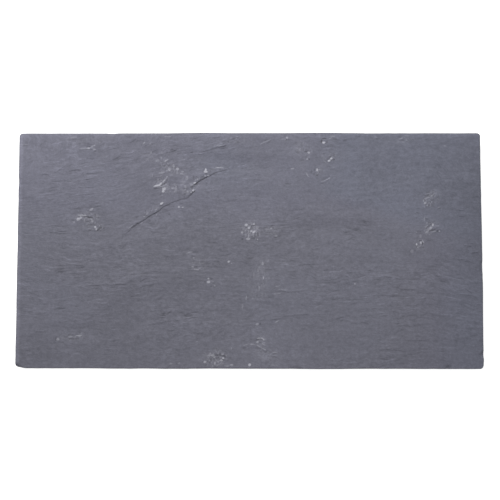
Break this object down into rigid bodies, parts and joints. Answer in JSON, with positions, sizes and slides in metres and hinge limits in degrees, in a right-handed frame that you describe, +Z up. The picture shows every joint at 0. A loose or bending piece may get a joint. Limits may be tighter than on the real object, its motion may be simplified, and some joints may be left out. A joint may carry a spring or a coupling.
{
  "type": "stepping stone",
  "caption": "Rectangular slab of riven blue-grey slate with a split upper face, cut sides, a worn upper edge and a flat underside that lies on the ground.",
  "frame": {"origin": "centre of the underside, on the ground", "axes": "+X along the slab's length, +Y across it, +Z up through the riven face"},
  "size_m": [0.6, 0.3062, 0.0315],
  "materials": {
    "slate": "matt riven slate, blue-grey with purplish patches and pale bruised flecks"
  },
  "bodies": {
    "root": {"stepping_stone": "slate"}
  },
  "joints": []
}
